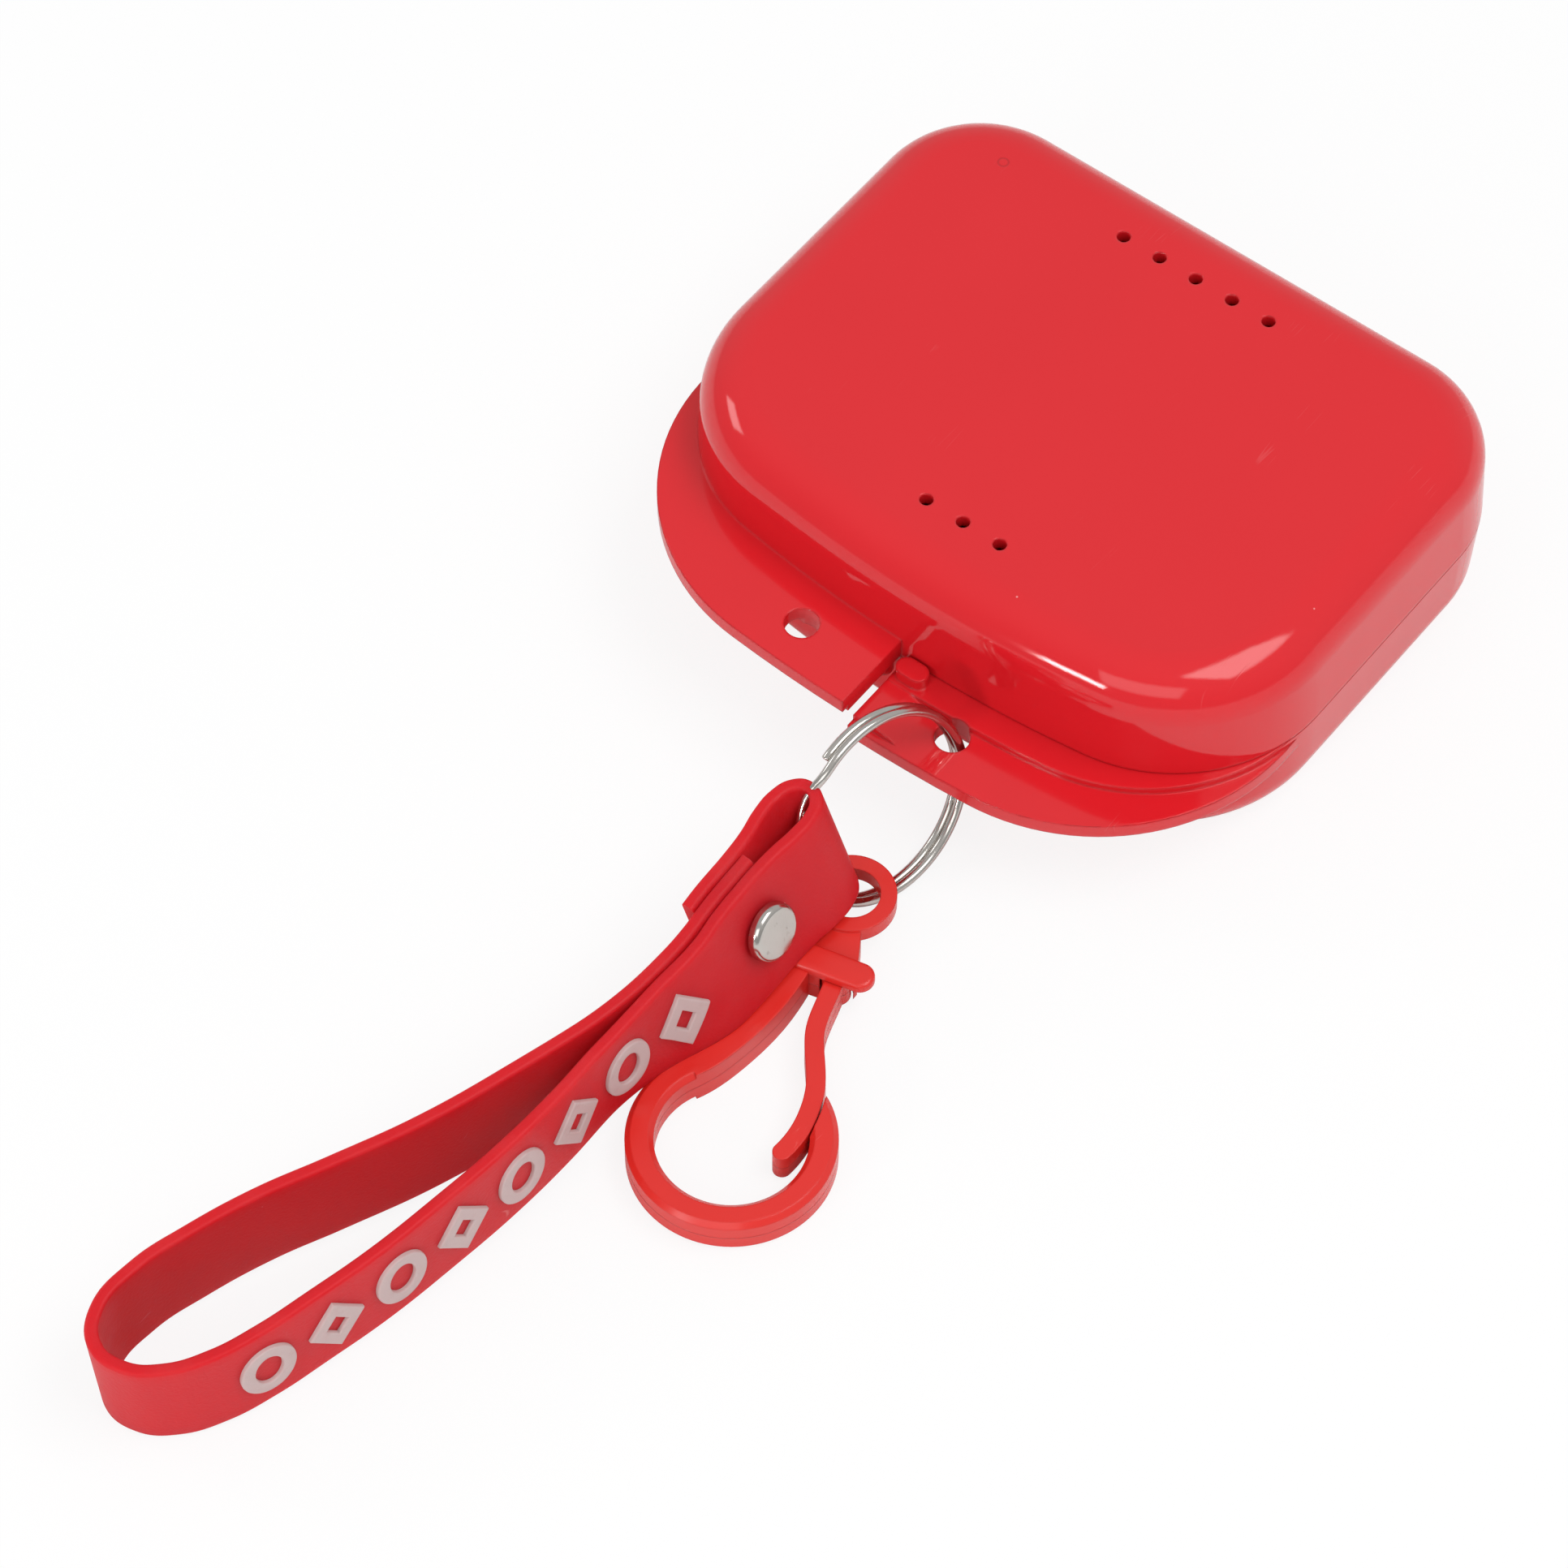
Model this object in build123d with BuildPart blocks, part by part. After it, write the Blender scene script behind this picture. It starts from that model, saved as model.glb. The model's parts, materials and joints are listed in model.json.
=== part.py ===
from build123d import *
import math
import os

# Retainer case with its carry strap, in millimetres.
# Origin: middle of the face that the case rests on. +Y points to the hinge, +Z up.

# Case halves: one moulding used twice, the lid being the base turned over
case_width = 81.0
wall_back_y = 31.5
wall_front_y = -31.8
front_bulge = 5.0
back_corner_radius = 14.0
front_corner_radius = 20.0
half_height = 13.8
wall = 1.8
wall_draft = 3.0
edge_radius = 6.0
closing_gap = 0.05

# Air holes in the flat of each half
vent_radius = 0.8
vent_pitch = 5.0
vent_row_back_y = 22.0
vent_row_front_y = -21.4
vent_count_back = 5
vent_count_front = 3

# Front flange: each half carries one side of it
flange_front_y = -42.3
flange_bulge = 4.0
flange_corner_radius = 26.0
flange_thickness = 1.9
flange_drop = 0.9
flange_end_gap = 0.35
flange_side_inset = 0.3
ledge_front_y = -35.2
ledge_bulge = 4.7
ledge_corner_radius = 22.0
end_strip_width = 3.1
end_strip_ramp = 2.8
end_strip_drop = 0.1
flange_hole_radius = 2.0
flange_hole_x = 10.4
flange_hole_y = -36.6

# Latch tongue on the ledge
latch_length = 4.0
latch_width = 2.5
latch_height = 1.4
latch_x = 2.4
latch_wall_gap = 0.25

# Snap hinge: a stub pin and a socket on each half
hinge_offset = 2.5
knuckle_radius = 2.1
knuckle_length = 6.0
knuckle_start_x = 10.0
knuckle_gap = 0.2
pin_radius = 1.1
pin_length = 4.5
pin_clearance = 0.06
arm_depth = 4.2
arm_top_drop = 0.5
arm_top_reach = 0.6
arm_low_reach = 0.5
arm_low_drop = 0.85

# Split ring: two turns of wire
ring_radius = 11.3
ring_wire_radius = 0.55
ring_turn_gap = 0.45
ring_turns = 1.92
ring_centre = (9.3, -47.8, 11.7)
ring_normal = (0.937, -0.153, 0.313)
ring_start_angle = 338.0

# Wrist strap
strap_width = 14.0
strap_thickness = 1.5
strap_rise = 5.6
strap_near_y = -60.0
strap_far_y = -152.0
strap_layer_gap = 0.2
stack_middle_x = 7.5

# Rivet through the three strap layers
rivet_cap_radius = 3.4
rivet_cap_height = 1.3
rivet_shank_radius = 1.5
rivet_hole_clearance = 0.05
rivet_seat_gap = 0.12
rivet_y = -68.8

# Snap clasp
clasp_eye_x = 11.0
clasp_eye_y = -55.3
clasp_heading = -74.9
clasp_height = 4.6
eye_top = 5.0
eye_outer_radius = 5.0
eye_inner_radius = 3.2
eye_height = 2.0
collar_start = 3.4
collar_end = 9.0
collar_half_width = 3.5
collar_overlap = 1.0
collar_tail = 2.0
collar_corner = 0.9
hook_centre_u = 33.3
hook_outer_radius = 11.4
hook_inner_radius = 8.3
hook_edge_bevel = 0.6
hook_nose_u = 24.6
hook_nose_w = 5.0
arm_width = 3.1
arm_join_angle = 50.0
arm_root_w = -1.9
arm_line = [(16.0, -2.7), (22.0, -4.7)]
gate_width = 2.1
gate_height = 3.6
gate_clearance = 0.25
gate_pivot_u = 10.0
gate_pivot_w = 2.4
gate_root_radius = 1.6
gate_tip = (32.8, 5.6)
gate_line = [
    (gate_pivot_u, gate_pivot_w), (14.0, 2.6), (17.5, 3.0), (20.8, 4.4), (23.8, 5.7),
    (26.8, 6.3), (29.8, 6.3), gate_tip,
]
gate_swing = 18
gate_swing_step = 3

os.makedirs("parts", exist_ok=True)

hinge_y = wall_back_y + hinge_offset
rim_z = half_height - closing_gap
flange_top_z = half_height - flange_drop
flange_low_z = flange_top_z - flange_thickness


def outline(half_width, back_y, front_y, bulge, back_radius, front_radius):
    """Face of the case shape: straight back and sides, bulging front, rounded corners."""
    with BuildSketch() as shape:
        with BuildLine():
            right_front = (half_width, front_y + bulge)
            left_front = (-half_width, front_y + bulge)
            Polyline(left_front, (-half_width, back_y), (half_width, back_y), right_front)
            ThreePointArc(right_front, (0, front_y), left_front)
        make_face()
        corners = shape.vertices().group_by(Axis.Y)
        fillet(corners[-1], back_radius)
        fillet(shape.vertices().group_by(Axis.Y)[0], front_radius)
    return shape.sketch


def bowl(inset, floor_z, rounding):
    """Solid block of the case shape, drafted inwards to its rounded floor."""
    with BuildPart() as block:
        with BuildSketch(Plane.XY.offset(rim_z)):
            add(outline(
                case_width / 2 - inset, wall_back_y - inset, wall_front_y + inset,
                front_bulge, back_corner_radius - inset, front_corner_radius - inset,
            ))
        extrude(amount=-(rim_z - floor_z), taper=wall_draft)
        fillet(block.faces().sort_by(Axis.Z)[0].edges(), rounding)
    return block.part


def knuckle_profile():
    """Barrel with its arm to the back wall, below the parting plane."""
    with BuildSketch(Plane.YZ) as shape:
        with Locations((hinge_y, half_height)):
            Circle(knuckle_radius)
        with BuildLine():
            Polyline(
                (wall_back_y - wall / 2, half_height - arm_top_drop),
                (
                    hinge_y - knuckle_radius * arm_top_reach,
                    half_height - knuckle_radius * arm_top_reach,
                ),
                (
                    hinge_y + knuckle_radius * arm_low_reach,
                    half_height - knuckle_radius * arm_low_drop,
                ),
                (wall_back_y - wall / 2, half_height - arm_depth - knuckle_radius),
                close=True,
            )
        make_face()
    return shape.sketch_local


def half_moulding():
    """One half of the case, as the base: it stands on its flat face, open upwards."""
    with BuildPart() as half:
        add(bowl(0, 0, edge_radius))

        # flange on the right-hand side of the front
        with BuildSketch(Plane.XY.offset(flange_low_z)):
            add(outline(
                case_width / 2 - flange_side_inset, 0, flange_front_y, flange_bulge,
                1.0, flange_corner_radius,
            ))
            with Locations((-case_width / 2 + flange_end_gap, 0)):
                Rectangle(case_width, 3 * case_width, mode=Mode.SUBTRACT)
            with Locations((0, case_width / 2 - 2)):
                Rectangle(2 * case_width, case_width, mode=Mode.SUBTRACT)
        extrude(amount=flange_thickness)

        # ledge between the wall and the flange
        with BuildSketch(Plane.XY.offset(flange_low_z)):
            add(outline(
                case_width / 2 - flange_side_inset, 0, ledge_front_y, ledge_bulge,
                1.0, ledge_corner_radius,
            ))
            with Locations((-case_width / 2 + flange_end_gap, 0)):
                Rectangle(case_width, 3 * case_width, mode=Mode.SUBTRACT)
            with Locations((0, case_width / 2 - 2)):
                Rectangle(2 * case_width, case_width, mode=Mode.SUBTRACT)
        extrude(amount=rim_z - flange_low_z)

        # raised strip along the flange's end, with a ramp down to the flange
        with BuildSketch(Plane.XZ.offset(-ledge_front_y - 1.0)):
            with BuildLine():
                strip_top = half_height - end_strip_drop
                foot_z = flange_top_z - flange_thickness / 2
                ramp_x = flange_end_gap + end_strip_width
                Polyline(
                    (flange_end_gap, foot_z), (flange_end_gap, strip_top), (ramp_x, strip_top),
                    (ramp_x + end_strip_ramp, flange_top_z), (ramp_x + end_strip_ramp, foot_z),
                    close=True,
                )
            make_face()
        extrude(amount=ledge_front_y - flange_front_y)

        # knuckle with the stub pin, and knuckle with the socket
        with BuildSketch(Plane.YZ.offset(knuckle_start_x)):
            add(knuckle_profile())
        extrude(amount=knuckle_length)
        with BuildSketch(Plane.YZ.offset(knuckle_start_x + knuckle_length)):
            with Locations((hinge_y, half_height)):
                Circle(pin_radius)
        extrude(amount=pin_length)
        socket_far_x = -(knuckle_start_x + 2 * knuckle_length + knuckle_gap)
        with BuildSketch(Plane.YZ.offset(socket_far_x)):
            add(knuckle_profile())
        extrude(amount=knuckle_length)
        with BuildSketch(Plane.YZ.offset(socket_far_x)):
            with Locations((hinge_y, half_height)):
                Circle(pin_radius + pin_clearance)
        extrude(amount=knuckle_length, mode=Mode.SUBTRACT)

        # latch tongue
        latch_y = wall_front_y - latch_wall_gap - latch_width / 2
        with BuildSketch(Plane.XY.offset(flange_top_z)):
            with Locations((latch_x, latch_y)):
                SlotOverall(latch_length, latch_width)
        extrude(amount=half_height + latch_height - flange_top_z)

        # hollow, flange hole and air holes
        add(bowl(wall, wall, edge_radius - wall), mode=Mode.SUBTRACT)
        with BuildSketch(Plane.XY.offset(rim_z)):
            add(outline(
                case_width / 2 - wall, wall_back_y - wall, wall_front_y + wall,
                front_bulge, back_corner_radius - wall, front_corner_radius - wall,
            ))
        extrude(amount=knuckle_radius, mode=Mode.SUBTRACT)
        with BuildSketch():
            with Locations((flange_hole_x, flange_hole_y)):
                Circle(flange_hole_radius)
            with Locations((0, vent_row_back_y)):
                with GridLocations(vent_pitch, vent_pitch, vent_count_back, 1):
                    Circle(vent_radius)
            with Locations((0, vent_row_front_y)):
                with GridLocations(vent_pitch, vent_pitch, vent_count_front, 1):
                    Circle(vent_radius)
        extrude(amount=half_height, mode=Mode.SUBTRACT)
        with BuildSketch(Plane.XY.offset(rim_z)):
            with Locations((-case_width / 2 + flange_end_gap, 0)):
                Rectangle(case_width, 2 * wall_back_y - 1, mode=Mode.ADD)
        extrude(amount=latch_height * 2, mode=Mode.SUBTRACT)
    return half.part


# Base and lid
with BuildPart() as base_shell:
    add(half_moulding())
base_shell.part.label = "base_shell"
export_step(base_shell.part, "parts/base_shell.step")

turn_over = Plane((0, 0, half_height)).location * Rotation(0, 180, 0) * Pos(0, 0, -half_height)
with BuildPart() as lid_shell:
    add(half_moulding().moved(turn_over))
lid_shell.part.label = "lid_shell"
export_step(lid_shell.part, "parts/lid_shell.step")


def biarc_joint(start, end, start_dir, end_dir):
    """Point where the two arcs meet that leave start and reach end in the given directions."""
    chord = end - start
    both = start_dir + end_dir
    spread = 2 * (1 - start_dir.dot(end_dir))
    along = chord.dot(both)
    reach = (-along + math.sqrt(along * along + spread * chord.dot(chord))) / spread
    return (start + start_dir * reach + end - end_dir * reach) * 0.5


# Split ring, wound as one wire
ring_axis = Vector(*ring_normal).normalized()
ring_across = Vector(0, 0, 1).cross(ring_axis).normalized()
ring_up = ring_axis.cross(ring_across)
ring_pitch = 2 * ring_wire_radius + ring_turn_gap


def ring_point(angle):
    """Point and direction of the wire's middle line, angle in degrees from its start."""
    turned = math.radians(ring_start_angle + angle)
    lift = ring_pitch * (angle / 360 - ring_turns / 2)
    outward = ring_across * math.cos(turned) + ring_up * math.sin(turned)
    forward = ring_up * math.cos(turned) - ring_across * math.sin(turned)
    point = Vector(*ring_centre) + outward * ring_radius + ring_axis * lift
    heading = forward * ring_radius + ring_axis * (ring_pitch / (2 * math.pi))
    return point, heading.normalized()


ring_steps = 8
ring_step_angle = 360 * ring_turns / ring_steps
ring_arcs = []
for step in range(ring_steps):
    here, here_dir = ring_point(step * ring_step_angle)
    there, there_dir = ring_point((step + 1) * ring_step_angle)
    joint = biarc_joint(here, there, here_dir, there_dir)
    ring_arcs.append(Edge.make_tangent_arc(here, here_dir, joint))
    ring_arcs.append(Edge.make_tangent_arc(joint, ring_arcs[-1] % 1, there))
ring_line = Wire(ring_arcs)
with BuildPart() as key_ring:
    with BuildSketch(Plane(origin=ring_line @ 0, z_dir=ring_line % 0)):
        Circle(ring_wire_radius)
    sweep(path=ring_line)
key_ring.part.label = "key_ring"
export_step(key_ring.part, "parts/key_ring.step")
ring_samples = [ring_line @ (i / 400) for i in range(401)]
ring_turn_samples = round(400 / ring_turns)
ring_self_gap = min(
    (a - b).length
    for i, a in enumerate(ring_samples)
    for b in ring_samples[i + ring_turn_samples // 2:]
) - 2 * ring_wire_radius
print("key ring, least gap to itself:", round(ring_self_gap, 3))

# Wrist strap: one flat strip standing on its edge, riveted to itself and folded round the ring
strap_plane = Plane(
    origin=(0, strap_far_y, 0), x_dir=(1, 0, 0),
    z_dir=(0, -strap_rise, strap_near_y - strap_far_y),
)
layer_pitch = strap_thickness + strap_layer_gap
stack_near_x = stack_middle_x + layer_pitch
stack_back_x = stack_middle_x - layer_pitch
strap_points = [
    (stack_middle_x, -65.2), (stack_middle_x, -69.0), (stack_middle_x, -73.0), (7.4, -76.4),
    (6.7, -81.0), (4.9, -88.5), (1.7, -99.0), (-2.4, -110.5), (-7.0, -120.2), (-10.6, -127.4),
    (-13.5, -135.0), (-15.3, -141.5), (-15.2, -147.4), (-12.6, -150.7), (-8.6, -150.9),
    (-5.0, -148.6), (-2.2, -144.6), (-0.1, -139.4), (1.7, -133.0), (3.6, -125.5), (5.2, -116.5),
    (6.4, -108.0), (7.0, -99.7), (7.1, -92.0), (7.8, -84.5), (stack_near_x, -76.6),
    (stack_near_x, -73.2), (stack_near_x, -69.6), (stack_near_x, -66.0), (stack_near_x + 0.1, -64.4),
    (10.3, -62.4), (12.0, -59.8), (12.7, -56.4),
    (11.0, -52.4), (7.2, -50.4), (3.4, -51.7), (1.9, -55.6), (2.6, -59.8), (4.7, -63.0),
    (stack_back_x - 0.1, -64.6),
    (stack_back_x, -66.4), (stack_back_x, -69.8), (stack_back_x, -73.8),
]
strap_line = Edge.make_spline([Vector(x, y - strap_far_y, 0) for x, y in strap_points])
strap_side_points = 64


def strap_side(offset_by):
    """Points along one face of the strip in the strap's plane."""
    points = []
    for i in range(strap_side_points + 1):
        at = strap_line @ (i / strap_side_points)
        heading = strap_line % (i / strap_side_points)
        points.append((at.X - heading.Y * offset_by, at.Y + heading.X * offset_by))
    return points


rivet_height = strap_width / 2
with BuildPart() as wrist_strap:
    with BuildSketch(strap_plane):
        with BuildLine():
            left_points = strap_side(strap_thickness / 2)
            right_points = strap_side(-strap_thickness / 2)
            Spline(left_points)
            Spline(right_points)
            Line(left_points[0], right_points[0])
            Line(left_points[-1], right_points[-1])
        make_face()
    extrude(amount=strap_width)
    rivet_axis_plane = Plane(
        origin=strap_plane.from_local_coords((0, rivet_y - strap_far_y, rivet_height)),
        x_dir=(0, 1, 0), z_dir=(1, 0, 0),
    )
    with BuildSketch(rivet_axis_plane):
        Circle(rivet_shank_radius + rivet_hole_clearance)
    extrude(amount=stack_near_x + strap_thickness, mode=Mode.SUBTRACT)
wrist_strap.part.label = "wrist_strap"
export_step(wrist_strap.part, "parts/wrist_strap.step")
print("wrist strap, length of its middle line:", round(strap_line.length, 1))

# Rivet: domed cap with its shank, and the cap at the back
stack_near_face = stack_near_x + strap_thickness / 2 + rivet_seat_gap
stack_back_face = stack_back_x - strap_thickness / 2 - rivet_seat_gap
with BuildPart() as rivet_cap:
    with BuildSketch(rivet_axis_plane.offset(stack_near_face)):
        Circle(rivet_cap_radius)
    extrude(amount=rivet_cap_height)
    fillet(rivet_cap.edges().sort_by(Axis.X)[-1], rivet_cap_height * 0.7)
    with BuildSketch(rivet_axis_plane.offset(stack_back_face)):
        Circle(rivet_shank_radius)
    extrude(amount=stack_near_face - stack_back_face)
rivet_cap.part.label = "rivet_cap"
export_step(rivet_cap.part, "parts/rivet_cap.step")

with BuildPart() as rivet_back:
    with BuildSketch(rivet_axis_plane.offset(stack_back_face)):
        Circle(rivet_cap_radius)
    extrude(amount=-rivet_cap_height)
    fillet(rivet_back.edges().sort_by(Axis.X)[0], rivet_cap_height * 0.7)
rivet_back.part.label = "rivet_back"
export_step(rivet_back.part, "parts/rivet_back.step")

# Snap clasp, lying flat: u runs from its eye to the end of its hook, w to the side of the gate
clasp_plane = Plane(
    origin=(clasp_eye_x, clasp_eye_y, 0), z_dir=(0, 0, 1),
    x_dir=(math.cos(math.radians(clasp_heading)), math.sin(math.radians(clasp_heading)), 0),
)
hook_middle_radius = (hook_outer_radius + hook_inner_radius) / 2


def gate_blade(grow):
    """Blade of the gate from its round root to its tip inside the hook."""
    with BuildSketch() as shape:
        with BuildLine():
            Spline(*gate_line)
        trace(line_width=gate_width + 2 * grow)
        with Locations((gate_pivot_u, gate_pivot_w)):
            Circle(gate_root_radius + grow)
        with Locations(gate_tip):
            Circle(gate_width / 2 + grow)
    return shape.sketch


with BuildPart() as clasp_body:
    with BuildSketch(clasp_plane):
        with Locations((hook_centre_u, 0)):
            Circle(hook_outer_radius)
            Circle(hook_inner_radius, mode=Mode.SUBTRACT)
    extrude(amount=clasp_height)
    chamfer(clasp_body.edges().filter_by(GeomType.CIRCLE), hook_edge_bevel)
    # the hook is open from its arm to its nose
    join = math.radians(arm_join_angle)
    with BuildSketch(clasp_plane):
        with BuildLine():
            beyond = hook_outer_radius + hook_edge_bevel
            clear_u = hook_centre_u - 2 * hook_outer_radius
            clear_w = -beyond * math.sin(join)
            Polyline(
                (hook_centre_u, 0), (hook_centre_u - beyond * math.cos(join), clear_w),
                (clear_u, clear_w), (clear_u, hook_outer_radius), (hook_nose_u, hook_outer_radius),
                (hook_nose_u, hook_nose_w), close=True,
            )
        make_face()
    extrude(amount=clasp_height, mode=Mode.SUBTRACT)
    with BuildSketch(clasp_plane):
        with BuildLine():
            join_u = hook_centre_u - hook_middle_radius * math.cos(join)
            join_w = -hook_middle_radius * math.sin(join)
            Spline(
                (collar_end - collar_overlap, arm_root_w), *arm_line, (join_u, join_w),
                tangents=((1, 0), (math.sin(join), -math.cos(join))),
            )
        trace(line_width=arm_width)
    extrude(amount=clasp_height)
    with BuildSketch(clasp_plane):
        with BuildLine():
            Polyline(
                (collar_start, collar_corner - collar_half_width),
                (collar_start, collar_half_width - collar_corner),
                (collar_end, collar_half_width + collar_corner),
                (collar_end + collar_tail, collar_half_width + 0.4),
                (collar_end + collar_tail, -collar_half_width),
                (collar_end, -collar_half_width - 0.2), close=True,
            )
        make_face()
    extrude(amount=clasp_height)
    with BuildSketch(clasp_plane):
        Circle(eye_outer_radius)
    extrude(amount=eye_top, mode=Mode.SUBTRACT)
    with BuildSketch(clasp_plane.offset(eye_top - eye_height)):
        Circle(eye_outer_radius)
    extrude(amount=eye_height)
    with BuildSketch(clasp_plane):
        Circle(eye_inner_radius)
    extrude(amount=eye_top, mode=Mode.SUBTRACT)
    # room for the gate, shut and at each step of its swing inwards
    gate_pivot = Pos(gate_pivot_u, gate_pivot_w)
    for swing in range(0, gate_swing + gate_swing_step, gate_swing_step):
        with BuildSketch(clasp_plane):
            add(gate_pivot * Rot(0, 0, -swing) * gate_pivot.inverse() * gate_blade(gate_clearance))
        extrude(amount=clasp_height, mode=Mode.SUBTRACT)
clasp_body.part.label = "clasp_body"
export_step(clasp_body.part, "parts/clasp_body.step")

gate_low_z = (clasp_height - gate_height) / 2
with BuildPart() as clasp_gate:
    with BuildSketch(clasp_plane.offset(gate_low_z)):
        add(gate_blade(0))
    extrude(amount=gate_height)
clasp_gate.part.label = "clasp_gate"
export_step(clasp_gate.part, "parts/clasp_gate.step")
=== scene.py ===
import bpy
import bmesh
import json
import math
from mathutils import Matrix, Vector

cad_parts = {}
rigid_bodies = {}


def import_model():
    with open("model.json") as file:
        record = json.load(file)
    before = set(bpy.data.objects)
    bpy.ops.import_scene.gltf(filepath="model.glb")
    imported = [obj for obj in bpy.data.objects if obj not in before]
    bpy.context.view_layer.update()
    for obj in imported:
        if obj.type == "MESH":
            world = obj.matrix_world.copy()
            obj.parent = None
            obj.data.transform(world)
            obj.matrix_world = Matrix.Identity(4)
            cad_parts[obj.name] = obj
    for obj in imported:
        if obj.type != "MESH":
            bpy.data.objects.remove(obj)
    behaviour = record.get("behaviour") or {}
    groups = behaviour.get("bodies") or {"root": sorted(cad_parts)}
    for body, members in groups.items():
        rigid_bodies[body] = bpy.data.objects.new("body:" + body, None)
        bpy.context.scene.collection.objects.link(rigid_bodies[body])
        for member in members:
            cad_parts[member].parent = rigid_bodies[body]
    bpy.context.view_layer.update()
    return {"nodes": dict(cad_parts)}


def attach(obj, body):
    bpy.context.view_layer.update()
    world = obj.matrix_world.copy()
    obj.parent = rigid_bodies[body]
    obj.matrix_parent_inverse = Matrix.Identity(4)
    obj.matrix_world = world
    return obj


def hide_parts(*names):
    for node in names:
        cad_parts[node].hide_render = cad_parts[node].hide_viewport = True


# What Blender starts with is cleared away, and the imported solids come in.
for unused in list(bpy.data.objects):
    bpy.data.objects.remove(unused)
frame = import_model()

# Case halves: two turned-over copies of one glossy polypropylene moulding, which
# snap together at the back. Each shows fine scratches, dust, faint flow marks from
# the gate, and a round ejector mark in its flat.
case_red = (0.700, 0.0135, 0.0210)
case_red_deep = (0.610, 0.0090, 0.0145)
case_mark_red = (0.30, 0.006, 0.010)
case_dust = (0.86, 0.42, 0.42)
moulded_edge = 0.00045
mark_across = 0.0273
mark_y = 0.0225
mark_radius = 0.0006
mark_line = 0.00022


class Value:
    """A socket that takes part in shader arithmetic."""

    def __init__(self, tree, socket):
        self.tree = tree
        self.socket = socket

    def math(self, operation, *others):
        """A Math node on this value and the others."""
        node = self.tree.nodes.new("ShaderNodeMath")
        node.operation = operation
        for slot, value in zip(node.inputs, (self,) + others):
            connect(self.tree, slot, value)
        return Value(self.tree, node.outputs[0])

    def __add__(self, other):
        return self.math("ADD", other)

    __radd__ = __add__

    def __sub__(self, other):
        return self.math("SUBTRACT", other)

    def __rsub__(self, other):
        return (self * -1) + other

    def __mul__(self, other):
        return self.math("MULTIPLY", other)

    __rmul__ = __mul__

    def __lt__(self, other):
        return self.math("LESS_THAN", other)


def connect(tree, slot, value):
    """Gives a socket its number, colour, vector or link."""
    if isinstance(value, Value):
        tree.links.new(value.socket, slot)
    elif isinstance(value, tuple) and slot.type == "RGBA":
        slot.default_value = (*value, 1.0)
    else:
        slot.default_value = value


class Shading:
    """A tree of shader nodes."""

    def __init__(self, tree):
        self.tree = tree

    def node(self, kind, settings=None, output=0, **values):
        """A node of one kind: its settings first, then its sockets by name, or i and number."""
        made = self.tree.nodes.new("ShaderNode" + kind)
        for setting, value in (settings or {}).items():
            setattr(made, setting, value)
        for key, value in values.items():
            socket = int(key[1:]) if key[1:].isdigit() else key.replace("_", " ")
            connect(self.tree, made.inputs[socket], value)
        return Value(self.tree, made.outputs[output])

    def ramp(self, value, low, high, first=0.0, last=1.0):
        """value, spread from first at low to last at high, with soft ends."""
        settings = {"interpolation_type": "SMOOTHSTEP"}
        return self.node("MapRange", settings, i0=value, i1=low, i2=high, i3=first, i4=last)


class Finish(Shading):
    """The shading of one material, with its one shader."""

    def __init__(self, name):
        self.material = bpy.data.materials.new(name)
        self.material.use_nodes = True
        super().__init__(self.material.node_tree)
        self.shader = self.tree.nodes["Principled BSDF"]
        self.place = self.node("TexCoord", output="Object")

    def noise(self, scale, detail=2.0, stretch=(1.0, 1.0, 1.0), turn=(0.0, 0.0, 0.0)):
        """Soft noise from 0 to 1, its scale in cells per metre."""
        placed = self.node("Mapping", Vector=self.place, Scale=stretch, Rotation=turn)
        return self.node("TexNoise", Vector=placed, Scale=scale, Detail=detail)

    def blend(self, share, first, second):
        """A colour between two others."""
        return self.node("Mix", {"data_type": "RGBA"}, output=2, i0=share, i6=first, i7=second)

    def hairs(self, scale, turn, thin):
        """Scattered straight scratches in one direction, 1 on a scratch."""
        line = self.noise(scale, 0.0, (1.0, 0.05, 0.2), (0.0, 0.0, turn))
        patch = self.noise(scale * 0.16, 1.0, (1.0, 1.0, 1.0), (0.4, 0.2, turn))
        mark = self.ramp(line, 0.5 - thin, 0.5) * self.ramp(line, 0.5 + thin, 0.5)
        return mark * self.ramp(patch, 0.69, 0.76)

    def specks(self, spacing, size, share):
        """Dust grains, 1 on a grain: share of the cells hold one."""
        near = self.node("TexVoronoi", Vector=self.place, Scale=1.0 / spacing)
        cell = self.node("TexVoronoi", output="Color", Vector=self.place, Scale=1.0 / spacing)
        chosen = self.node("SeparateColor", i0=cell) < share
        return self.ramp(near, size / spacing, size / spacing * 0.5) * chosen

    def finish(self, colour, roughness, height, depth, edge=0.0, **constants):
        """Sets the shader: varying colour, roughness and relief, and its constants."""
        shader = self.shader.inputs
        connect(self.tree, shader["Base Color"], colour)
        connect(self.tree, shader["Roughness"], roughness)
        relief = {"Strength": 1.0, "Distance": depth, "Height": height}
        if edge:
            relief["Normal"] = self.node("Bevel", {"samples": 4}, Radius=edge)
        connect(self.tree, shader["Normal"], self.node("Bump", **relief))
        for name, value in constants.items():
            connect(self.tree, shader[name.replace("_", " ")], value)
        return self.material


def ring_mark(finish, x, y, radius, width):
    """A thin circle in the flat of a moulding, 1 on its line."""
    offset = finish.node("VectorMath", {"operation": "SUBTRACT"}, i0=finish.place, i1=(x, y, 0.0))
    flat = finish.node("VectorMath", {"operation": "MULTIPLY"}, i0=offset, i1=(1.0, 1.0, 0.0))
    far = finish.node("VectorMath", {"operation": "LENGTH"}, output="Value", i0=flat)
    return finish.ramp(far, radius - width, radius) * finish.ramp(far, radius + width, radius)


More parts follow.
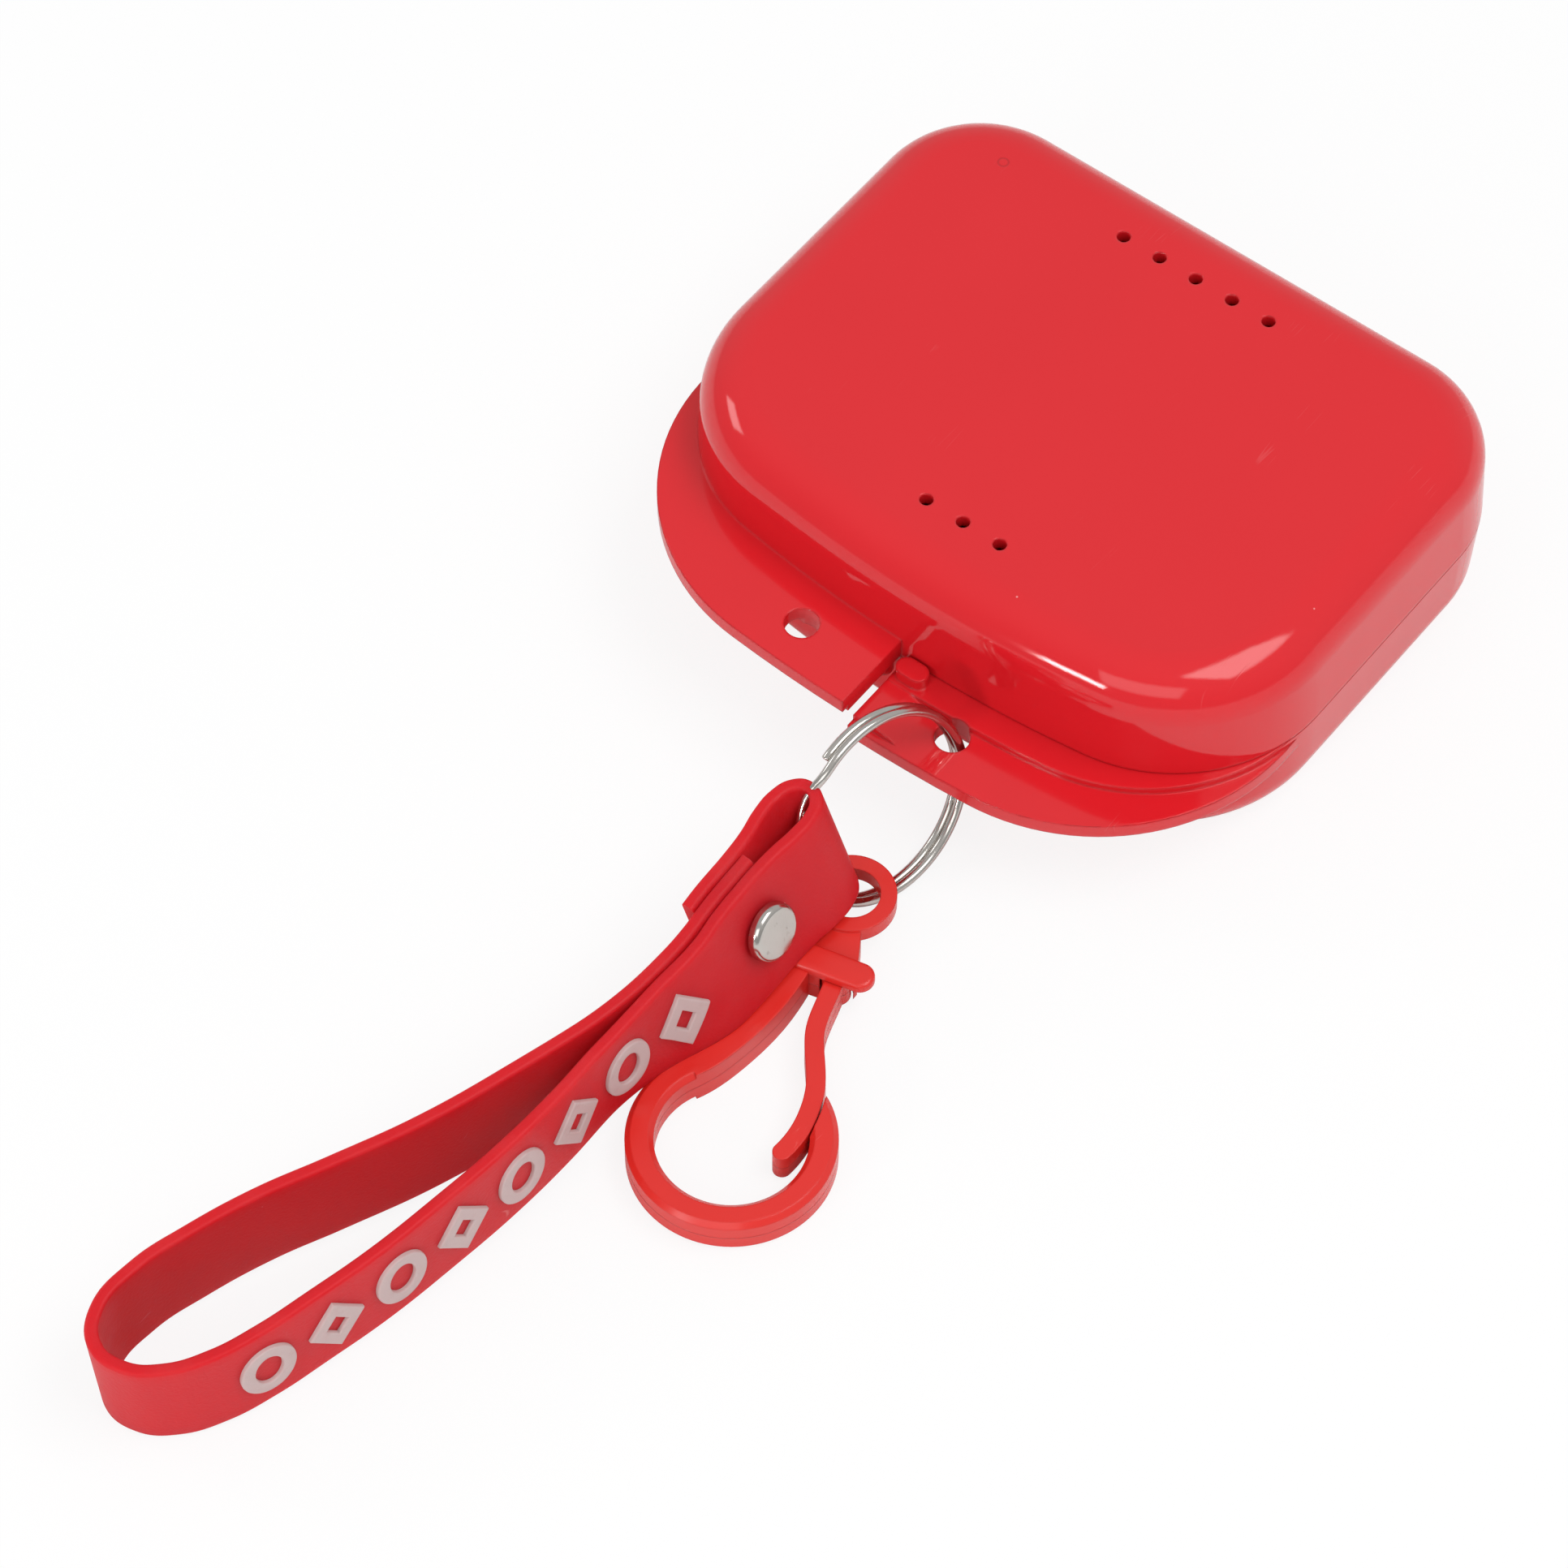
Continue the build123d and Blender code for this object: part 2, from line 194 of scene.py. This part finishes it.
def case_finish(name, mark_x):
    """Glossy red polypropylene, with the ejector's mark at one side of its flat."""
    plastic = Finish(name)
    tone = plastic.noise(38.0, 3.0)
    flow = plastic.noise(60.0, 1.0, (1.0, 0.2, 1.0), (0.0, 0.0, 0.5))
    smudge = plastic.ramp(plastic.noise(85.0, 4.0, turn=(0.3, 0.0, 0.6)), 0.48, 0.7)
    scratch = plastic.hairs(900.0, 0.35, 0.02) + plastic.hairs(700.0, 2.05, 0.016)
    dust = plastic.specks(0.0052, 0.00016, 0.12)
    mark = ring_mark(plastic, mark_x, mark_y, mark_radius, mark_line)
    base = plastic.blend(tone * 0.35 + flow * 0.25, case_red, case_red_deep)
    marked = plastic.blend(mark * 0.45, base, case_mark_red)
    dusty = plastic.blend(dust * 0.6 + scratch * 0.07, marked, case_dust)
    rough = 0.055 + smudge * 0.035 + scratch * 0.2 + dust * 0.4 + tone * 0.02
    height = tone * 0.22 + flow * 0.1 - scratch * 0.03 - mark * 0.12 + dust * 0.03
    return plastic.finish(dusty, rough, height, 0.00022, moulded_edge, IOR=1.49)


def repaint(node_name, material):
    """Puts a finish on a CAD node."""
    node = frame["nodes"][node_name]
    node.data.materials.clear()
    node.data.materials.append(material)


repaint("lid_shell", case_finish("case_plastic_lid", -mark_across))
repaint("base_shell", case_finish("case_plastic_base", mark_across))

# Split ring: nickel-plated spring steel wire wound nearly twice round. Its two turns
# lie side by side and touch, and where one end stops the wire jogs across to the
# other side. It hangs in the base flange and holds the strap and the clasp.
ring_centre = Vector((0.0093, -0.0478, 0.0117))
ring_axis = Vector((0.937, -0.153, 0.313)).normalized()
ring_across = Vector((0.0, 0.0, 1.0)).cross(ring_axis).normalized()
ring_radius = 0.0113
ring_wire = 0.00055
ring_pitch = 0.00112
ring_start = math.radians(147.0)
ring_first_turn = 332.0
ring_last_turn = 331.8
ring_turn_steps = 76
ring_jog_step = 3.6
ring_jog_shares = (0.04, 0.12, 0.22, 0.24, 0.22, 0.12, 0.04)
wire_sides = 20
wire_end_edge = 0.00014
nickel_tint = (0.60, 0.575, 0.540)
nickel_dull = (0.40, 0.375, 0.345)
smooth_below = math.radians(38.0)


def piece(name, mesh, material, body):
    """A new piece from a bmesh, with its finish, body and material slot."""
    data = bpy.data.meshes.new(name)
    mesh.to_mesh(data)
    mesh.free()
    data.materials.append(material)
    data.shade_smooth()
    data.set_sharp_from_angle(angle=smooth_below)
    made = bpy.data.objects.new(name, data)
    bpy.context.scene.collection.objects.link(made)
    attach(made, body)
    return made


def nickel_finish(name):
    """Plated metal with faint drawing lines and dull spots."""
    metal = Finish(name)
    cloud = metal.noise(420.0, 3.0)
    lines = metal.noise(3200.0, 1.0, (1.0, 1.0, 0.12), (0.5, 0.3, 0.0))
    spots = metal.ramp(metal.noise(1500.0, 2.0), 0.62, 0.74)
    tarnish = metal.blend(cloud * 0.5 + spots * 0.35, nickel_tint, nickel_dull)
    rough = 0.12 + cloud * 0.06 + lines * 0.03 + spots * 0.12
    height = lines * 0.2 + cloud * 0.5 - spots * 0.2
    return metal.finish(tarnish, rough, height, 0.000006, Metallic=1.0)


nickel = nickel_finish("nickel_plate")
ring_mesh = bmesh.new()
ring_outward = Matrix.Rotation(ring_start, 3, ring_axis) @ ring_across
wire_place = ring_centre + ring_outward * ring_radius + ring_axis * ring_pitch / 2
wire_turn = ring_axis.cross(ring_outward).to_track_quat("Z", "Y").to_matrix().to_4x4()
wire_start = bmesh.ops.create_circle(
    ring_mesh, segments=wire_sides, radius=ring_wire,
    matrix=Matrix.Translation(wire_place) @ wire_turn,
)["verts"]


def wind(wire_end, degrees, steps, lift=0.0):
    """Winds the wire on from its end, moves it along the ring's axis, and gives its new end."""
    wound = bmesh.ops.spin(
        ring_mesh, geom=wire_end, cent=ring_centre, axis=ring_axis,
        dvec=ring_axis * (lift / steps), angle=math.radians(degrees), steps=steps,
    )
    return wound["geom_last"]


wire_end = wire_start + list({edge for vert in wire_start for edge in vert.link_edges})
wire_end = wind(wire_end, ring_first_turn, ring_turn_steps)
for jog_share in ring_jog_shares:
    wire_end = wind(wire_end, ring_jog_step, 1, -ring_pitch * jog_share)
wind(wire_end, ring_last_turn, ring_turn_steps)
bmesh.ops.holes_fill(ring_mesh, edges=ring_mesh.edges[:], sides=0)
wire_rims = [
    edge for edge in ring_mesh.edges
    if any(len(face.verts) > 4 for face in edge.link_faces)
]
bmesh.ops.bevel(
    ring_mesh, geom=wire_rims, offset=wire_end_edge, segments=3, profile=0.5, affect="EDGES",
    material=-1,
)
bmesh.ops.recalc_face_normals(ring_mesh, faces=ring_mesh.faces[:])
split_ring = piece("split_ring", ring_mesh, nickel, "ring")
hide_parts("key_ring")

# Rivet: a nickel-plated cap with a polished, rounded edge at the front and its twin
# at the back, pressed together through the three layers of the strap. It leans with
# the strap, as the ring pulls it.
rivet_radius = 0.0034
rivet_height = 0.0013
rivet_edge = 0.0008
rivet_flat_rim = 0.0009
rivet_crown = 0.00006
rivet_middle = Vector((0.00775, -0.0688, 0.01205))
rivet_lean = math.radians(18.5)
rivet_seat = 0.00262


def rivet_head(name, side, node_name):
    """One head, pointing out on its side of the strap."""
    head = bmesh.new()
    bmesh.ops.create_circle(head, cap_ends=True, segments=64, radius=rivet_radius)
    grown = bmesh.ops.extrude_face_region(head, geom=head.faces[:])["geom"]
    top = [item for item in grown if isinstance(item, bmesh.types.BMVert)]
    bmesh.ops.translate(head, verts=top, vec=(0.0, 0.0, rivet_height))
    middle = rivet_height / 2
    rim = [edge for edge in head.edges if all(vert.co.z > middle for vert in edge.verts)]
    bmesh.ops.bevel(
        head, geom=rim, offset=rivet_edge, segments=7, profile=0.5, affect="EDGES", material=-1,
    )
    flats = [face for face in head.faces if len(face.verts) > 4]
    crown = [face for face in flats if face.calc_center_median().z > middle]
    bmesh.ops.inset_region(head, faces=crown, thickness=rivet_flat_rim, depth=rivet_crown)
    bmesh.ops.recalc_face_normals(head, faces=head.faces[:])
    turn = Matrix.Rotation(side * (math.pi / 2) - rivet_lean, 4, "Y")
    out = Matrix.Rotation(-rivet_lean, 4, "Y") @ Vector((side * rivet_seat, 0.0, 0.0))
    place = Matrix.Translation(rivet_middle + out)
    bmesh.ops.transform(head, matrix=place @ turn, verts=head.verts[:])
    made = piece(name, head, nickel, "strap")
    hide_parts(node_name)


rivet_head("rivet_head_front", 1, "rivet_cap")
rivet_head("rivet_head_back", -1, "rivet_back")

# Wrist strap: one strip of red moulded silicone rubber on its edge. It is folded
# round the split ring, doubled back, and riveted through its own layers. Its edges
# are softly rounded and its skin is satin, with lint held by the rubber.
strap_width = 0.014
strap_thickness = 0.0015
strap_edge = 0.00045
strap_near_y = -0.060
strap_far_y = -0.152
strap_rise = 0.0056
strap_red = (0.600, 0.0135, 0.0210)
strap_red_deep = (0.520, 0.0100, 0.0160)
strap_bloom = (0.70, 0.16, 0.16)
strap_lint = (0.82, 0.50, 0.48)
strap_route = [
    (0.0075, -0.0652), (0.0075, -0.0690), (0.0075, -0.0730), (0.0074, -0.0764), (0.0067, -0.0810),
    (0.0049, -0.0885), (0.0017, -0.0990), (-0.0024, -0.1105), (-0.0070, -0.1202), (-0.0106, -0.1274),
    (-0.0135, -0.1350), (-0.0153, -0.1415), (-0.0152, -0.1474), (-0.0126, -0.1507), (-0.0086, -0.1509),
    (-0.0050, -0.1486), (-0.0022, -0.1446), (-0.0001, -0.1394), (0.0017, -0.1330), (0.0036, -0.1255),
    (0.0052, -0.1165), (0.0064, -0.1080), (0.0070, -0.0997), (0.0071, -0.0920), (0.0078, -0.0845),
    (0.0092, -0.0766), (0.0092, -0.0732), (0.0092, -0.0696), (0.0092, -0.0660), (0.0094, -0.0628),
    (0.0098, -0.0596), (0.0098, -0.0570), (0.0090, -0.0549), (0.0074, -0.0541), (0.0059, -0.0550),
    (0.0051, -0.0572), (0.0051, -0.0598), (0.0056, -0.0630), (0.0058, -0.0664), (0.0058, -0.0698),
    (0.0058, -0.0738),
]
strap_lean = 0.334
strap_lean_height = 0.0121
strap_lean_from = -0.093
strap_lean_full = -0.071
weld_distance = 0.000001
strap_tilt = Matrix.Translation((0.0, strap_far_y, 0.0)) @ Matrix.Rotation(
    math.atan2(strap_rise, strap_near_y - strap_far_y), 4, "X"
)


def leaning(point):
    """The point, moved as the strap leans with the ring: its top edge to the left."""
    share = (point.y - strap_lean_from) / (strap_lean_full - strap_lean_from)
    share = min(max(share, 0.0), 1.0)
    share = share * share * (3 - 2 * share)
    return point - Vector((share * strap_lean * (point.z - strap_lean_height), 0.0, 0.0))


def silicone_finish(name):
    """Satin silicone rubber."""
    rubber = Finish(name)
    tone = rubber.noise(55.0, 3.0)
    grain = rubber.noise(2600.0, 2.0)
    bloom = rubber.ramp(rubber.noise(140.0, 3.0), 0.45, 0.72)
    lint = rubber.specks(0.0034, 0.00013, 0.16) + rubber.hairs(1100.0, 1.1, 0.014) * 0.5
    base = rubber.blend(tone * 0.5, strap_red, strap_red_deep)
    dull = rubber.blend(bloom * 0.05, base, strap_bloom)
    linty = rubber.blend(lint * 0.45, dull, strap_lint)
    rough = 0.40 + bloom * 0.10 + grain * 0.06 + lint * 0.2
    return rubber.finish(
        linty, rough, grain * 0.5 + tone * 0.3 + lint * 0.2, 0.00007,
        Specular_IOR_Level=0.18, Subsurface_Weight=0.55, Subsurface_Radius=(1.0, 0.18, 0.15),
        Subsurface_Scale=0.004,
    )


def strip_curve(name):
    """The strap's line as a curve in its own plane."""
    data = bpy.data.curves.new(name, "CURVE")
    data.dimensions = "3D"
    data.twist_mode = "Z_UP"
    data.resolution_u = 10
    line = data.splines.new("BEZIER")
    line.bezier_points.add(len(strap_route) - 1)
    for knot, (x, y) in zip(line.bezier_points, strap_route):
        knot.co = (x, y - strap_far_y, 0.0)
        knot.handle_left_type = knot.handle_right_type = "AUTO"
    return data


def mesh_of_curve(data):
    """A curve's finished mesh."""
    holder = bpy.data.objects.new(data.name + "_line", data)
    bpy.context.scene.collection.objects.link(holder)
    bpy.context.view_layer.update()
    evaluated = holder.evaluated_get(bpy.context.evaluated_depsgraph_get())
    made = bpy.data.meshes.new_from_object(evaluated)
    bpy.data.objects.remove(holder)
    return made


silicone = silicone_finish("silicone_red")
section = bpy.data.curves.new("strap_section", "CURVE")
section.dimensions = "2D"
section.resolution_u = 5
section_line = section.splines.new("BEZIER")
section_line.bezier_points.add(7)
half_t, half_w = strap_thickness / 2, strap_width / 2
# Handles of 0.5523 of a corner's radius bend the curve to a quarter circle.
bend = strap_edge * 0.5523
corner_points = []
for side_t, side_w in ((1, 1), (-1, 1), (-1, -1), (1, -1)):
    across = Vector((side_t * half_t, side_w * (half_w - strap_edge), 0))
    along = Vector((side_t * (half_t - strap_edge), side_w * half_w, 0))
    pull_w, pull_t = Vector((0, side_w * bend, 0)), Vector((side_t * bend, 0, 0))
    first = (across, across, across + pull_w)
    second = (along, along + pull_t, along)
    if side_t * side_w > 0:
        corner_points += [first, second]
    else:
        corner_points += [(second[0], second[2], second[1]), (first[0], first[2], first[1])]
for knot, (point, left, right) in zip(section_line.bezier_points, corner_points):
    knot.co, knot.handle_left, knot.handle_right = point, left, right
section_line.use_cyclic_u = True
section_shape = bpy.data.objects.new("strap_section_shape", section)
bpy.context.scene.collection.objects.link(section_shape)
strip = strip_curve("strap")
strip.bevel_mode = "OBJECT"
strip.bevel_object = section_shape
strip.use_fill_caps = True
strap_mesh = bmesh.new()
strap_mesh.from_mesh(mesh_of_curve(strip))
bpy.data.objects.remove(section_shape)
bmesh.ops.remove_doubles(strap_mesh, verts=strap_mesh.verts[:], dist=weld_distance)
bmesh.ops.translate(strap_mesh, verts=strap_mesh.verts[:], vec=(0.0, 0.0, strap_width / 2))
bmesh.ops.transform(strap_mesh, matrix=strap_tilt, verts=strap_mesh.verts[:])
for vert in strap_mesh.verts:
    vert.co = leaning(vert.co)
bmesh.ops.recalc_face_normals(strap_mesh, faces=strap_mesh.faces[:])
strap = piece("strap", strap_mesh, silicone, "strap")
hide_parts("wrist_strap")

# Raised motifs: whitish silicone shapes moulded onto the outer face of the strap, half
# a millimetre proud with rounded edges. They are plain rings and diamonds.
motif_count = 8
motif_height = 0.0088
motif_narrow = 0.78
motif_line = 0.0016
motif_proud = 0.00048
motif_sunk = 0.0003
motif_edge = 0.00018
motif_round_sides = 56
motif_round_share = 0.94
motif_diamond_cuts = 5
motif_long_edge = 0.0012
motif_white = (0.565, 0.440, 0.430)
motif_white_deep = (0.50, 0.37, 0.36)
motif_soil = (0.48, 0.30, 0.29)
motif_first = 0.1095
motif_pitch = 0.0084


def motif_finish(name):
    """Whitish silicone, a little see-through over the red."""
    rubber = Finish(name)
    tone = rubber.noise(300.0, 3.0)
    grain = rubber.noise(2400.0, 2.0)
    soil = rubber.ramp(rubber.noise(700.0, 4.0), 0.52, 0.75)
    base = rubber.blend(tone * 0.5, motif_white, motif_white_deep)
    soiled = rubber.blend(soil * 0.25, base, motif_soil)
    return rubber.finish(
        soiled, 0.44 + grain * 0.1, grain * 0.5 + soil * 0.3, 0.00006, Subsurface_Weight=0.12,
        Subsurface_Radius=(0.6, 0.3, 0.3), Subsurface_Scale=0.0006,
    )


strap_line = [vert.co.copy() for vert in mesh_of_curve(strip_curve("strap_measure")).vertices]


def on_strap(along, up, out):
    """Where a point lies: along the strap, up across its width, out from its face."""
    walked = 0.0
    for here, there in zip(strap_line, strap_line[1:]):
        step = (there - here).length
        if walked + step >= along:
            forward = (there - here).normalized()
            spot = here.lerp(there, (along - walked) / step)
            outward = forward.cross(Vector((0.0, 0.0, 1.0)))
            return leaning(strap_tilt @ (spot + outward * out + Vector((0.0, 0.0, up))))
        walked += step


motif_silicone = motif_finish("silicone_white")
motif_mesh = bmesh.new()
for number in range(motif_count):
    motif = bmesh.new()
    diamond = number % 2 == 1
    sides = 4 if diamond else motif_round_sides
    reach = motif_height / 2 * (1.0 if diamond else motif_round_share)
    bmesh.ops.create_circle(motif, cap_ends=True, segments=sides, radius=reach)
    bmesh.ops.scale(motif, vec=(motif_narrow, 1.0, 1.0), verts=motif.verts[:])
    bmesh.ops.inset_region(
        motif, faces=motif.faces[:], thickness=motif_line, use_boundary=True, use_even_offset=True,
    )
    middle = min(motif.faces, key=lambda face: face.calc_center_median().length)
    bmesh.ops.delete(motif, geom=[middle], context="FACES_ONLY")
    grown = bmesh.ops.extrude_face_region(motif, geom=motif.faces[:])["geom"]
    top = [item for item in grown if isinstance(item, bmesh.types.BMVert)]
    bmesh.ops.translate(motif, verts=top, vec=(0.0, 0.0, motif_proud + motif_sunk))
    rims = [
        edge for edge in motif.edges
        if all(vert in top for vert in edge.verts)
        and any(vert not in top for face in edge.link_faces for vert in face.verts)
    ]
    bmesh.ops.recalc_face_normals(motif, faces=motif.faces[:])
    bmesh.ops.bevel(
        motif, geom=rims, offset=motif_edge, segments=3, profile=0.5, affect="EDGES", material=-1,
    )
    if diamond:
        long_edges = [edge for edge in motif.edges if edge.calc_length() > motif_long_edge]
        bmesh.ops.subdivide_edges(
            motif, edges=long_edges, cuts=motif_diamond_cuts, use_grid_fill=True,
        )
    spot = motif_first + number * motif_pitch
    for vert in motif.verts:
        vert.co = on_strap(
            spot + vert.co.x, strap_width / 2 + vert.co.y,
            strap_thickness / 2 - motif_sunk + vert.co.z,
        )
    part = bpy.data.meshes.new("motif_part")
    motif.to_mesh(part)
    motif.free()
    motif_mesh.from_mesh(part)
bmesh.ops.recalc_face_normals(motif_mesh, faces=motif_mesh.faces[:])
motifs = piece("strap_motifs", motif_mesh, motif_silicone, "strap")

# Snap clasp: a moulded acetal hook with an eye for the ring, and a thin springy gate
# that grows from its collar and bends inwards. Both show a parting line round their
# sides and a few flow marks.
clasp_orange = (0.730, 0.027, 0.020)
clasp_orange_deep = (0.640, 0.018, 0.015)
clasp_seam_red = (0.40, 0.010, 0.010)
clasp_dust = (0.86, 0.45, 0.40)
clasp_line_height = 0.0023
clasp_line_width = 0.00012
clasp_edge = 0.00025


def clasp_finish(name):
    """Glossy orange-red acetal with its parting line."""
    plastic = Finish(name)
    tone = plastic.noise(90.0, 3.0)
    flow = plastic.noise(160.0, 1.0, (1.0, 0.3, 1.0), (0.0, 0.0, 0.9))
    scratch = plastic.hairs(1300.0, 0.8, 0.02)
    dust = plastic.specks(0.0041, 0.00013, 0.12)
    up = plastic.node("SeparateXYZ", output="Z", Vector=plastic.place)
    below = plastic.ramp(up, clasp_line_height - clasp_line_width, clasp_line_height)
    above = plastic.ramp(up, clasp_line_height + clasp_line_width, clasp_line_height)
    seam = below * above
    base = plastic.blend(tone * 0.4 + flow * 0.2, clasp_orange, clasp_orange_deep)
    seamed = plastic.blend(seam * 0.35, base, clasp_seam_red)
    dusty = plastic.blend(dust * 0.6 + scratch * 0.15, seamed, clasp_dust)
    rough = 0.20 + tone * 0.06 + scratch * 0.2 + dust * 0.3
    height = tone * 0.25 + flow * 0.15 - scratch * 0.04 + seam * 0.5
    return plastic.finish(dusty, rough, height, 0.00016, clasp_edge, IOR=1.48)


clasp_plastic = clasp_finish("clasp_plastic_red")
repaint("clasp_body", clasp_plastic)
repaint("clasp_gate", clasp_plastic)

# Collar bar of the clasp: a rounded bar moulded across the top of the collar, over the
# gate's root, with a nub that stands out past the gate.
bar_near = (0.0094, -0.0026)
bar_far = (0.0096, 0.0049)
bar_radius = 0.0017
bar_edge = 0.0005
bar_low = 0.0042
bar_height = 0.0011
clasp_eye = Vector((0.0110, -0.0553, 0.0))
clasp_turn = Matrix.Rotation(math.radians(-74.9), 4, "Z")
bar = bmesh.new()
bmesh.ops.create_circle(bar, cap_ends=True, segments=40, radius=bar_radius)
for vert in bar.verts:
    u, w = bar_far if vert.co.y > 0 else bar_near
    vert.co += Vector((u, w, bar_low))
grown = bmesh.ops.extrude_face_region(bar, geom=bar.faces[:])["geom"]
bar_top = [item for item in grown if isinstance(item, bmesh.types.BMVert)]
bmesh.ops.translate(bar, verts=bar_top, vec=(0.0, 0.0, bar_height))
bar_rim = [edge for edge in bar.edges if all(vert in bar_top for vert in edge.verts)]
bmesh.ops.bevel(
    bar, geom=bar_rim, offset=bar_edge, segments=5, profile=0.5, affect="EDGES", material=-1,
)
bmesh.ops.recalc_face_normals(bar, faces=bar.faces[:])
clasp_place = Matrix.Translation(clasp_eye) @ clasp_turn
bmesh.ops.transform(bar, matrix=clasp_place, verts=bar.verts[:])
collar_bar = piece("clasp_collar_bar", bar, clasp_plastic, "clasp")

# Floor and studio: a plain white table and four soft boxes, above at the right, low in
# front, at the left and in front. The room is pale, and its low part is darker on the
# camera's side. The floor glows for the camera alone, so that it stays near white.
floor_reach = 3.0
floor_gap = 0.00005
floor_glow = 0.86
paper_white = (0.90, 0.90, 0.90)
paper_grey = (0.885, 0.885, 0.885)
plain_white = (1.0, 1.0, 1.0)
room_dark = 0.42
room_bright = 0.64
floor_mesh = bmesh.new()
bmesh.ops.create_grid(
    floor_mesh, x_segments=1, y_segments=1, size=floor_reach,
    matrix=Matrix.Translation((0.0, 0.0, -floor_gap)),
)
floor_data = bpy.data.meshes.new("floor")
floor_mesh.to_mesh(floor_data)
floor_mesh.free()
floor = bpy.data.objects.new("floor", floor_data)
bpy.context.scene.collection.objects.link(floor)
paper = Finish("floor_paper")
paper_tone = paper.blend(paper.noise(25.0, 2.0), paper_white, paper_grey)
paper_rough = 0.9 + paper.noise(300.0) * 0.02
floor_data.materials.append(paper.finish(paper_tone, paper_rough, paper.noise(900.0), 0.00002))
paper_glow = paper.node("Emission", Color=plain_white, Strength=1.0)
paper_lit = Value(paper.tree, paper.shader.outputs["BSDF"])
paper_seen = paper.node("LightPath", output="Is Camera Ray")
paper_shown = paper.node("MixShader", i0=paper_seen * floor_glow, i1=paper_lit, i2=paper_glow)
connect(paper.tree, paper.tree.nodes["Material Output"].inputs["Surface"], paper_shown)

room = bpy.data.worlds.new("studio")
bpy.context.scene.world = room
room.use_nodes = True
studio = Shading(room.node_tree)
looking = studio.node("TexCoord", output="Generated")
looking_up = studio.node("SeparateXYZ", output="Z", Vector=looking)
looking_back = studio.node("SeparateXYZ", output="Y", Vector=looking)
room_level = studio.ramp(looking_up + looking_back * 0.55, -0.2, 0.9, room_dark, room_bright)
room_seen = studio.node("LightPath", output="Is Camera Ray")
room_glow = studio.tree.nodes["Background"].inputs
connect(studio.tree, room_glow["Strength"], room_level * (1 - room_seen) + room_seen)
connect(studio.tree, room_glow["Color"], plain_white)


def soft_box(name, place, aim, width, height, power):
    """A rectangular studio lamp."""
    lamp = bpy.data.lights.new(name, "AREA")
    lamp.shape = "RECTANGLE"
    lamp.size = width
    lamp.size_y = height
    lamp.energy = power
    holder = bpy.data.objects.new(name, lamp)
    holder.location = place
    beam = Vector(aim) - Vector(place)
    holder.rotation_euler = beam.to_track_quat("-Z", "Y").to_euler()
    bpy.context.scene.collection.objects.link(holder)


soft_box("overhead_box", (0.45, 0.10, 0.95), (0.0, -0.04, 0.0), 0.7, 0.5, 4.6)
soft_box("front_strip", (-0.06, -0.85, 0.26), (0.02, -0.03, 0.015), 0.16, 0.09, 1.3)
soft_box("left_box", (-0.85, -0.25, 0.55), (0.0, -0.06, 0.015), 0.3, 0.2, 0.8)
soft_box("front_fill", (0.35, -0.95, 0.75), (0.0, -0.06, 0.015), 0.9, 0.5, 2.3)

# Camera: above the front right, at the photograph's angle and distance. Its lens is
# given in pixels of the photograph, as it was fitted to the rows of air holes.
picture_half_width = 966
lens_length = 7642.4
camera_aim = Vector((0.006007, -0.060853, 0.0276))
camera_side = Vector((0.35146, -0.45111, 0.82036)).normalized()
camera_distance = 0.656194
camera_near = 0.01
camera_data = bpy.data.cameras.new("camera")
camera_data.sensor_fit = "HORIZONTAL"
camera_data.angle = 2 * math.atan(picture_half_width / lens_length)
camera_data.clip_start = camera_near
camera = bpy.data.objects.new("camera", camera_data)
camera.location = camera_aim + camera_side * camera_distance
camera.rotation_euler = camera_side.to_track_quat("Z", "Y").to_euler()
bpy.context.scene.collection.objects.link(camera)
bpy.context.scene.camera = camera
bpy.context.scene.view_settings.view_transform = "Standard"
